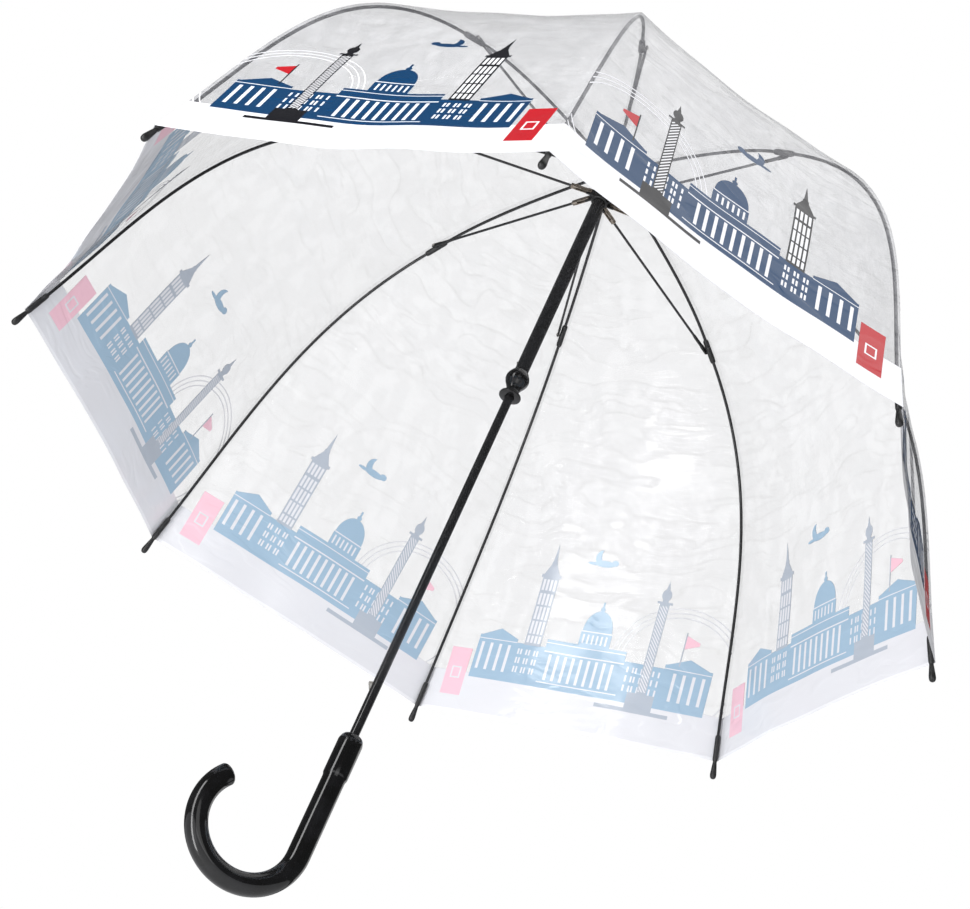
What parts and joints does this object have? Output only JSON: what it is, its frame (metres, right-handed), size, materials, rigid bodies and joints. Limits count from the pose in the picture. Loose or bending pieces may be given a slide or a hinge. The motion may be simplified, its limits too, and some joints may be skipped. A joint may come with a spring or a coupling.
{
  "type": "clear dome umbrella",
  "caption": "Open transparent dome umbrella with a printed border, black sprung ribs and stretchers, a long sliding runner, a slim shaft and a glossy crook handle",
  "frame": {"origin": "on the shaft's axis, at the middle of the hand grip", "axes": "+Z along the shaft from the handle to the crown, +X towards the crook's open side, so the crook's plane is XZ"},
  "size_m": [0.7946, 0.7946, 0.8811],
  "materials": {
    "black_enamel": "gloss black enamel",
    "gloss_black": "polished black moulding",
    "black_plastic": "satin black moulding",
    "spring_steel": "bare spring steel",
    "clear_film": "clear glossy film with a printed border"
  },
  "bodies": {
    "shaft": {"shaft": "black_enamel", "handle": "gloss_black", "stop_pin": "spring_steel", "crown_notch": "black_plastic", "crown_cap": "black_plastic", "ferrule": "gloss_black", "gore_1": "clear_film", "gore_2": "clear_film", "gore_3": "clear_film", "gore_4": "clear_film", "gore_5": "clear_film", "gore_6": "clear_film", "gore_7": "clear_film", "gore_8": "clear_film"},
    "runner": {"runner_tube": "black_enamel", "runner_knob": "gloss_black", "runner_notch": "black_plastic"},
    "top_catch": {"top_catch": "spring_steel"},
    "bottom_catch": {"bottom_catch": "spring_steel"},
    "rib_1": {"rib_inner_1": "black_enamel", "bracket_1": "black_plastic"},
    "rib_end_1": {"rib_outer_1": "black_enamel", "tip_1": "black_plastic"},
    "stretcher_1": {"stretcher_1": "black_enamel"},
    "rib_2": {"rib_inner_2": "black_enamel", "bracket_2": "black_plastic"},
    "rib_end_2": {"rib_outer_2": "black_enamel", "tip_2": "black_plastic"},
    "stretcher_2": {"stretcher_2": "black_enamel"},
    "rib_3": {"rib_inner_3": "black_enamel", "bracket_3": "black_plastic"},
    "rib_end_3": {"rib_outer_3": "black_enamel", "tip_3": "black_plastic"},
    "stretcher_3": {"stretcher_3": "black_enamel"},
    "rib_4": {"rib_inner_4": "black_enamel", "bracket_4": "black_plastic"},
    "rib_end_4": {"rib_outer_4": "black_enamel", "tip_4": "black_plastic"},
    "stretcher_4": {"stretcher_4": "black_enamel"},
    "rib_5": {"rib_inner_5": "black_enamel", "bracket_5": "black_plastic"},
    "rib_end_5": {"rib_outer_5": "black_enamel", "tip_5": "black_plastic"},
    "stretcher_5": {"stretcher_5": "black_enamel"},
    "rib_6": {"rib_inner_6": "black_enamel", "bracket_6": "black_plastic"},
    "rib_end_6": {"rib_outer_6": "black_enamel", "tip_6": "black_plastic"},
    "stretcher_6": {"stretcher_6": "black_enamel"},
    "rib_7": {"rib_inner_7": "black_enamel", "bracket_7": "black_plastic"},
    "rib_end_7": {"rib_outer_7": "black_enamel", "tip_7": "black_plastic"},
    "stretcher_7": {"stretcher_7": "black_enamel"},
    "rib_8": {"rib_inner_8": "black_enamel", "bracket_8": "black_plastic"},
    "rib_end_8": {"rib_outer_8": "black_enamel", "tip_8": "black_plastic"},
    "stretcher_8": {"stretcher_8": "black_enamel"}
  },
  "joints": [
    {"name": "runner_slide", "type": "slide", "parent": "shaft", "child": "runner", "axis": [0, 0, 1], "range_m": [-0.357, 0], "deforming": ["gore_1", "gore_2", "gore_3", "gore_4", "gore_5", "gore_6", "gore_7", "gore_8", "top_catch", "bottom_catch"]},
    {"name": "top_catch_press", "type": "slide", "parent": "shaft", "child": "top_catch", "axis": [0.866, -0.5, 0], "range_m": [-0.0028, 0], "stiffness_N_per_m": 300},
    {"name": "bottom_catch_press", "type": "slide", "parent": "shaft", "child": "bottom_catch", "axis": [0.866, -0.5, 0], "range_m": [-0.0028, 0], "stiffness_N_per_m": 300},
    {"name": "rib_1_fold", "type": "hinge", "parent": "shaft", "child": "rib_1", "pos_m": [0.01109, -0.00459, 0.718], "axis": [0.3827, 0.9239, 0], "range_deg": [0, 64.42]},
    {"name": "rib_1_flex", "type": "hinge", "parent": "rib_1", "child": "rib_end_1", "pos_m": [0.28331, -0.11735, 0.60641], "axis": [-0.3827, -0.9239, 0], "range_deg": [0, 44]},
    {"name": "stretcher_1_fold", "type": "hinge", "parent": "runner", "child": "stretcher_1", "pos_m": [0.01109, -0.00459, 0.681], "axis": [-0.3827, -0.9239, 0], "range_deg": [0, 78.52]},
    {"name": "rib_2_fold", "type": "hinge", "parent": "shaft", "child": "rib_2", "pos_m": [0.00459, -0.01109, 0.718], "axis": [0.9239, 0.3827, 0], "range_deg": [0, 64.42]},
    {"name": "rib_2_flex", "type": "hinge", "parent": "rib_2", "child": "rib_end_2", "pos_m": [0.11735, -0.28331, 0.60641], "axis": [-0.9239, -0.3827, 0], "range_deg": [0, 44]},
    {"name": "stretcher_2_fold", "type": "hinge", "parent": "runner", "child": "stretcher_2", "pos_m": [0.00459, -0.01109, 0.681], "axis": [-0.9239, -0.3827, 0], "range_deg": [0, 78.52]},
    {"name": "rib_3_fold", "type": "hinge", "parent": "shaft", "child": "rib_3", "pos_m": [-0.00459, -0.01109, 0.718], "axis": [0.9239, -0.3827, 0], "range_deg": [0, 64.42]},
    {"name": "rib_3_flex", "type": "hinge", "parent": "rib_3", "child": "rib_end_3", "pos_m": [-0.11735, -0.28331, 0.60641], "axis": [-0.9239, 0.3827, 0], "range_deg": [0, 44]},
    {"name": "stretcher_3_fold", "type": "hinge", "parent": "runner", "child": "stretcher_3", "pos_m": [-0.00459, -0.01109, 0.681], "axis": [-0.9239, 0.3827, 0], "range_deg": [0, 78.52]},
    {"name": "rib_4_fold", "type": "hinge", "parent": "shaft", "child": "rib_4", "pos_m": [-0.01109, -0.00459, 0.718], "axis": [0.3827, -0.9239, 0], "range_deg": [0, 64.42]},
    {"name": "rib_4_flex", "type": "hinge", "parent": "rib_4", "child": "rib_end_4", "pos_m": [-0.28331, -0.11735, 0.60641], "axis": [-0.3827, 0.9239, 0], "range_deg": [0, 44]},
    {"name": "stretcher_4_fold", "type": "hinge", "parent": "runner", "child": "stretcher_4", "pos_m": [-0.01109, -0.00459, 0.681], "axis": [-0.3827, 0.9239, 0], "range_deg": [0, 78.52]},
    {"name": "rib_5_fold", "type": "hinge", "parent": "shaft", "child": "rib_5", "pos_m": [-0.01109, 0.00459, 0.718], "axis": [-0.3827, -0.9239, 0], "range_deg": [0, 64.42]},
    {"name": "rib_5_flex", "type": "hinge", "parent": "rib_5", "child": "rib_end_5", "pos_m": [-0.28331, 0.11735, 0.60641], "axis": [0.3827, 0.9239, 0], "range_deg": [0, 44]},
    {"name": "stretcher_5_fold", "type": "hinge", "parent": "runner", "child": "stretcher_5", "pos_m": [-0.01109, 0.00459, 0.681], "axis": [0.3827, 0.9239, 0], "range_deg": [0, 78.52]},
    {"name": "rib_6_fold", "type": "hinge", "parent": "shaft", "child": "rib_6", "pos_m": [-0.00459, 0.01109, 0.718], "axis": [-0.9239, -0.3827, 0], "range_deg": [0, 64.42]},
    {"name": "rib_6_flex", "type": "hinge", "parent": "rib_6", "child": "rib_end_6", "pos_m": [-0.11735, 0.28331, 0.60641], "axis": [0.9239, 0.3827, 0], "range_deg": [0, 44]},
    {"name": "stretcher_6_fold", "type": "hinge", "parent": "runner", "child": "stretcher_6", "pos_m": [-0.00459, 0.01109, 0.681], "axis": [0.9239, 0.3827, 0], "range_deg": [0, 78.52]},
    {"name": "rib_7_fold", "type": "hinge", "parent": "shaft", "child": "rib_7", "pos_m": [0.00459, 0.01109, 0.718], "axis": [-0.9239, 0.3827, 0], "range_deg": [0, 64.42]},
    {"name": "rib_7_flex", "type": "hinge", "parent": "rib_7", "child": "rib_end_7", "pos_m": [0.11735, 0.28331, 0.60641], "axis": [0.9239, -0.3827, 0], "range_deg": [0, 44]},
    {"name": "stretcher_7_fold", "type": "hinge", "parent": "runner", "child": "stretcher_7", "pos_m": [0.00459, 0.01109, 0.681], "axis": [0.9239, -0.3827, 0], "range_deg": [0, 78.52]},
    {"name": "rib_8_fold", "type": "hinge", "parent": "shaft", "child": "rib_8", "pos_m": [0.01109, 0.00459, 0.718], "axis": [-0.3827, 0.9239, 0], "range_deg": [0, 64.42]},
    {"name": "rib_8_flex", "type": "hinge", "parent": "rib_8", "child": "rib_end_8", "pos_m": [0.28331, 0.11735, 0.60641], "axis": [0.3827, -0.9239, 0], "range_deg": [0, 44]},
    {"name": "stretcher_8_fold", "type": "hinge", "parent": "runner", "child": "stretcher_8", "pos_m": [0.01109, 0.00459, 0.681], "axis": [0.3827, -0.9239, 0], "range_deg": [0, 78.52]}
  ],
  "couplings": [
    {"joint": "rib_1_fold", "follows": "runner_slide", "rad_per_m": -3.1494},
    {"joint": "rib_1_flex", "follows": "runner_slide", "rad_per_m": -2.1511},
    {"joint": "stretcher_1_fold", "follows": "runner_slide", "rad_per_m": -3.8387},
    {"joint": "rib_2_fold", "follows": "runner_slide", "rad_per_m": -3.1494},
    {"joint": "rib_2_flex", "follows": "runner_slide", "rad_per_m": -2.1511},
    {"joint": "stretcher_2_fold", "follows": "runner_slide", "rad_per_m": -3.8387},
    {"joint": "rib_3_fold", "follows": "runner_slide", "rad_per_m": -3.1494},
    {"joint": "rib_3_flex", "follows": "runner_slide", "rad_per_m": -2.1511},
    {"joint": "stretcher_3_fold", "follows": "runner_slide", "rad_per_m": -3.8387},
    {"joint": "rib_4_fold", "follows": "runner_slide", "rad_per_m": -3.1494},
    {"joint": "rib_4_flex", "follows": "runner_slide", "rad_per_m": -2.1511},
    {"joint": "stretcher_4_fold", "follows": "runner_slide", "rad_per_m": -3.8387},
    {"joint": "rib_5_fold", "follows": "runner_slide", "rad_per_m": -3.1494},
    {"joint": "rib_5_flex", "follows": "runner_slide", "rad_per_m": -2.1511},
    {"joint": "stretcher_5_fold", "follows": "runner_slide", "rad_per_m": -3.8387},
    {"joint": "rib_6_fold", "follows": "runner_slide", "rad_per_m": -3.1494},
    {"joint": "rib_6_flex", "follows": "runner_slide", "rad_per_m": -2.1511},
    {"joint": "stretcher_6_fold", "follows": "runner_slide", "rad_per_m": -3.8387},
    {"joint": "rib_7_fold", "follows": "runner_slide", "rad_per_m": -3.1494},
    {"joint": "rib_7_flex", "follows": "runner_slide", "rad_per_m": -2.1511},
    {"joint": "stretcher_7_fold", "follows": "runner_slide", "rad_per_m": -3.8387},
    {"joint": "rib_8_fold", "follows": "runner_slide", "rad_per_m": -3.1494},
    {"joint": "rib_8_flex", "follows": "runner_slide", "rad_per_m": -2.1511},
    {"joint": "stretcher_8_fold", "follows": "runner_slide", "rad_per_m": -3.8387}
  ]
}
